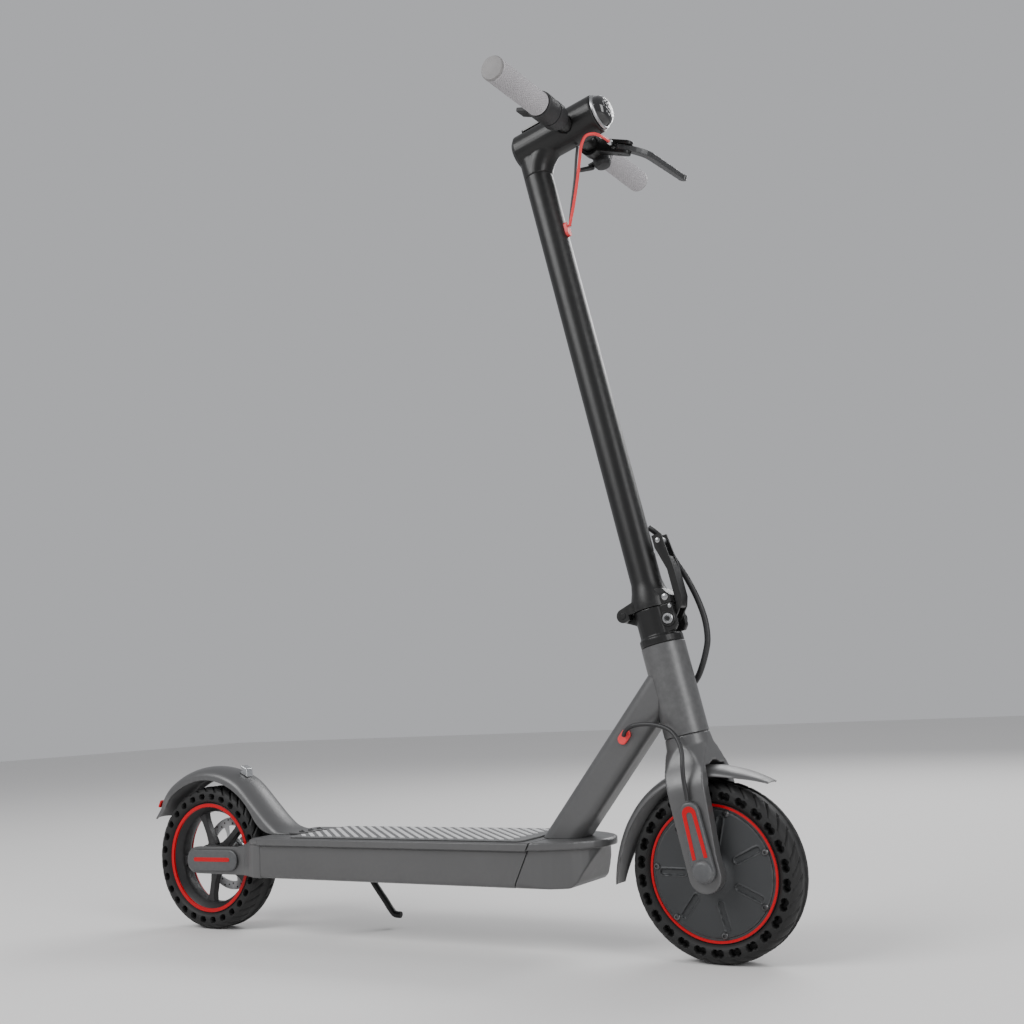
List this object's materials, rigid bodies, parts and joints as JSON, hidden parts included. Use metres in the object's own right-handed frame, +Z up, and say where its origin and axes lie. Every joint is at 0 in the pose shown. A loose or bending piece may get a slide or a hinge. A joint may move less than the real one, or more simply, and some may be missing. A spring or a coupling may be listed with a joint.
{
  "type": "electric kick scooter",
  "caption": "Folding electric kick scooter with a hub motor, flat deck, disc brake, fenders, kickstand, thumb throttle and a round-headed stem with a front light.",
  "frame": {"origin": "middle of the footprint, on the ground", "axes": "+X forward, +Y to the rider's left, +Z up"},
  "size_m": [1.069, 0.43, 1.1556],
  "materials": {
    "frame_paint": "satin grey powder coat",
    "black_paint": "satin black anodised coat",
    "black_plastic": "fine matte texture",
    "deck_rubber": "grey with raised diagonal ribs",
    "grip_rubber": "pale grey with a fine dot texture",
    "tyre": "solid rubber, matte",
    "hub_metal": "dark grey cast, matte",
    "steel": "brushed",
    "red_rubber": "soft red",
    "red_plastic": "clear red lens",
    "lamp": "clear front over a reflector",
    "screen": "smoked gloss",
    "battery": "shrink wrap"
  },
  "bodies": {
    "frame": {"deck_tray": "frame_paint", "front_casting": "frame_paint", "deck_mat": "deck_rubber", "bottom_cover": "black_plastic", "battery_pack": "battery", "controller": "steel", "charge_socket": "black_plastic", "rear_casting": "frame_paint", "rear_axle": "steel", "rear_cover_left": "frame_paint", "rear_cover_right": "frame_paint", "caliper": "black_paint", "rear_fender": "frame_paint", "fender_hook": "steel", "tail_light": "red_plastic", "down_tube": "frame_paint", "head_tube": "frame_paint", "headset_lower": "steel", "headset_upper": "steel", "downtube_grommet": "red_rubber"},
    "charge_flap": {"charge_flap": "tyre"},
    "kickstand": {"kickstand": "black_paint"},
    "rear_wheel": {"rear_tyre": "tyre", "rear_rim": "hub_metal", "brake_disc": "steel", "rear_bearing_left": "steel", "rear_bearing_right": "steel"},
    "caliper_arm": {"caliper_arm": "steel"},
    "fork": {"fork": "frame_paint", "front_fender": "frame_paint", "folding_base": "black_paint", "fold_pin": "steel", "motor_axle": "steel", "motor_stator": "steel", "fork_cover_left": "frame_paint", "fork_cover_right": "frame_paint", "motor_cable": "tyre", "fold_cable": "tyre"},
    "front_wheel": {"front_tyre": "tyre", "motor_shell": "hub_metal", "motor_cover": "hub_metal"},
    "fold_lever": {"fold_lever": "black_paint"},
    "safety_catch": {"safety_catch": "steel"},
    "stem": {"stem": "black_paint", "stem_head": "black_paint", "handlebar": "black_paint", "headlight": "lamp", "display_panel": "screen", "grip_left": "grip_rubber", "grip_right": "grip_rubber", "throttle_housing": "black_plastic", "brake_clamp": "black_paint", "bell": "black_plastic", "brake_cable": "red_rubber", "signal_cable": "tyre", "stem_grommet": "red_rubber"},
    "power_button": {"power_button": "grip_rubber"},
    "throttle_lever": {"throttle_lever": "black_plastic"},
    "brake_lever": {"brake_lever": "black_paint"},
    "bell_lever": {"bell_lever": "black_plastic"}
  },
  "joints": [
    {"name": "steering", "type": "hinge", "parent": "frame", "child": "fork", "pos_m": [0.43139, 0, 0.10904], "axis": [-0.2079, 0, 0.9781], "range_deg": [-45, 45], "deforming": ["motor_cable", "fold_cable"]},
    {"name": "stem_fold", "type": "hinge", "parent": "fork", "child": "stem", "pos_m": [0.327, 0, 0.42698], "axis": [0, -1, 0], "range_deg": [0, 92], "deforming": ["fold_cable"]},
    {"name": "fold_lever_pivot", "type": "hinge", "parent": "fork", "child": "fold_lever", "pos_m": [0.38996, 0, 0.41941], "axis": [0, 1, 0], "range_deg": [0, 90]},
    {"name": "safety_catch_pivot", "type": "hinge", "parent": "fold_lever", "child": "safety_catch", "pos_m": [0.37951, 0, 0.52146], "axis": [0, 1, 0], "range_deg": [-35, 0], "stiffness_Nm_per_rad": 0.05, "springref_deg": 22.92},
    {"name": "front_wheel_spin", "type": "hinge", "parent": "fork", "child": "front_wheel", "pos_m": [0.4265, 0, 0.108], "axis": [0, 1, 0], "continuous": true},
    {"name": "rear_wheel_spin", "type": "hinge", "parent": "frame", "child": "rear_wheel", "pos_m": [-0.4135, 0, 0.108], "axis": [0, 1, 0], "continuous": true},
    {"name": "kickstand_pivot", "type": "hinge", "parent": "frame", "child": "kickstand", "pos_m": [-0.1735, 0.074, 0.0784], "axis": [0, 1, 0], "range_deg": [0, 120]},
    {"name": "brake_lever_pivot", "type": "hinge", "parent": "stem", "child": "brake_lever", "pos_m": [0.33325, 0.06, 1.0995], "axis": [0.3338, 0, 0.9426], "range_deg": [0, 22], "stiffness_Nm_per_rad": 0.8, "springref_deg": -8.59},
    {"name": "caliper_arm_pivot", "type": "hinge", "parent": "frame", "child": "caliper_arm", "pos_m": [-0.3706, 0.0415, 0.144], "axis": [0, 1, 0], "range_deg": [0, 16]},
    {"name": "throttle_pivot", "type": "hinge", "parent": "stem", "child": "throttle_lever", "pos_m": [0.288, -0.072, 1.11552], "axis": [0, -1, 0], "range_deg": [0, 40], "stiffness_Nm_per_rad": 0.08, "springref_deg": -22.92},
    {"name": "bell_pivot", "type": "hinge", "parent": "stem", "child": "bell_lever", "pos_m": [0.27424, 0.082, 1.09368], "axis": [-0.2079, 0, 0.9781], "range_deg": [0, 25], "stiffness_Nm_per_rad": 0.02, "springref_deg": -17.19},
    {"name": "power_button_press", "type": "slide", "parent": "stem", "child": "power_button", "axis": [0.2079, 0, -0.9781], "range_m": [0, 0.001], "stiffness_N_per_m": 300, "springref_m": -0.0005},
    {"name": "charge_flap_hinge", "type": "hinge", "parent": "frame", "child": "charge_flap", "pos_m": [0.1145, 0.0683, 0.1294], "axis": [1, 0, 0], "range_deg": [0, 90]}
  ],
  "couplings": [
    {"joint": "caliper_arm_pivot", "follows": "brake_lever_pivot", "ratio": 0.7}
  ]
}
